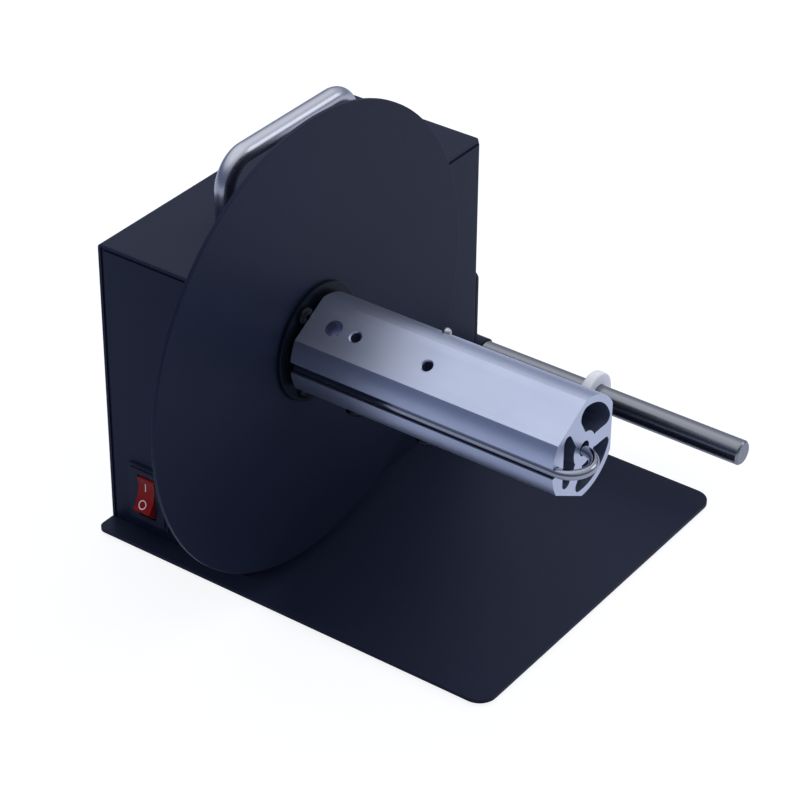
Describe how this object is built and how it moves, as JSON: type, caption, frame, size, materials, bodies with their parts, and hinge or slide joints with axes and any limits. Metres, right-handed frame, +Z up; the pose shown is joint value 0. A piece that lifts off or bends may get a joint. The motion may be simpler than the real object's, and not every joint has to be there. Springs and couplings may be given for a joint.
{
  "type": "label rewinder",
  "caption": "Benchtop label rewinder: a gear motor in a folded steel cabinet turns a side disc and hollow aluminium core; a swinging rod tensions the strip and a bent wire clamps its end.",
  "frame": {"origin": "centre of the base plate, on the plane under the feet", "axes": "+Z up; -Y towards the front, along the core from the cabinet; +X to the operator's right"},
  "size_m": [0.2917, 0.2759, 0.2395],
  "materials": {
    "coated_steel": "satin slate-blue powder coat",
    "black_anodised": "black anodised",
    "zinc_steel": "bright zinc",
    "stainless": "polished stainless",
    "ground_steel": "ground bar",
    "clear_anodised": "clear anodised extrusion",
    "rubber": "matte",
    "nylon": "white nylon",
    "black_plastic": "moulded",
    "red_plastic": "translucent red",
    "bronze": "sintered bronze",
    "board": "glass epoxy"
  },
  "bodies": {
    "base": {"base_plate": "coated_steel", "rubber_feet": "rubber", "base_screws": "zinc_steel", "chassis": "coated_steel", "rear_cover": "coated_steel", "cover_screws": "zinc_steel", "carry_handle": "stainless", "handle_screws": "zinc_steel", "switch_bezel": "black_plastic", "guard_plate": "coated_steel", "guard_screws": "zinc_steel", "dc_inlet": "black_plastic", "speed_pot": "zinc_steel", "pot_nut": "zinc_steel", "direction_bezel": "black_plastic", "bearing_housing": "zinc_steel", "housing_screws": "zinc_steel", "bearing_outer": "zinc_steel", "bearing_balls": "zinc_steel", "motor_posts": "zinc_steel", "post_screws": "zinc_steel", "motor_plate": "zinc_steel", "gearbox": "zinc_steel", "gearbox_screws": "zinc_steel", "motor_can": "zinc_steel", "arm_bracket": "zinc_steel", "bracket_screws": "zinc_steel", "pivot_bushes": "bronze", "position_sensor": "black_plastic", "board_posts": "zinc_steel", "control_board": "board", "board_screws": "zinc_steel", "capacitor": "black_plastic", "heat_sink": "clear_anodised", "terminal_block": "board"},
    "spindle": {"spindle_shaft": "ground_steel", "bearing_inner": "zinc_steel", "hub": "black_anodised", "hub_set_screw": "zinc_steel", "side_disc": "coated_steel", "clamp_flange": "black_anodised", "flange_screws": "zinc_steel", "core": "clear_anodised", "core_set_screw": "zinc_steel", "grip_screws": "zinc_steel", "grip_stud": "zinc_steel", "motor_shaft": "ground_steel"},
    "wire": {"retaining_wire": "ground_steel"},
    "arm": {"swing_arm": "coated_steel", "pivot_shaft": "ground_steel", "pivot_clip": "zinc_steel", "sensor_flag": "black_plastic", "tension_rod": "ground_steel", "rod_screw": "zinc_steel"},
    "collar": {"guide_collar": "nylon"},
    "power": {"power_rocker": "red_plastic"},
    "speed": {"speed_knob": "black_plastic", "pot_shaft": "ground_steel"},
    "direction": {"direction_rocker": "black_plastic"}
  },
  "joints": [
    {"name": "spindle_spin", "type": "hinge", "parent": "base", "child": "spindle", "pos_m": [-0.055, 0, 0.1255], "axis": [0, -1, 0], "continuous": true},
    {"name": "wire_pull", "type": "slide", "parent": "spindle", "child": "wire", "axis": [0, -1, 0], "range_m": [0, 0.12]},
    {"name": "arm_swing", "type": "hinge", "parent": "base", "child": "arm", "pos_m": [0.06319, 0.041, 0.07115], "axis": [0, -1, 0], "range_deg": [0, 32]},
    {"name": "collar_slide", "type": "slide", "parent": "arm", "child": "collar", "axis": [0, -1, 0], "range_m": [-0.06, 0.08]},
    {"name": "power_rock", "type": "hinge", "parent": "base", "child": "power", "pos_m": [-0.0855, 0.0895, 0.0255], "axis": [0, -1, 0], "range_deg": [0, 30]},
    {"name": "speed_turn", "type": "hinge", "parent": "base", "child": "speed", "pos_m": [0.01975, 0.114, 0.0365], "axis": [0, 1, 0], "range_deg": [-150, 150]},
    {"name": "direction_rock", "type": "hinge", "parent": "base", "child": "direction", "pos_m": [-0.01625, 0.111, 0.0365], "axis": [-1, 0, 0], "range_deg": [0, 30]}
  ]
}
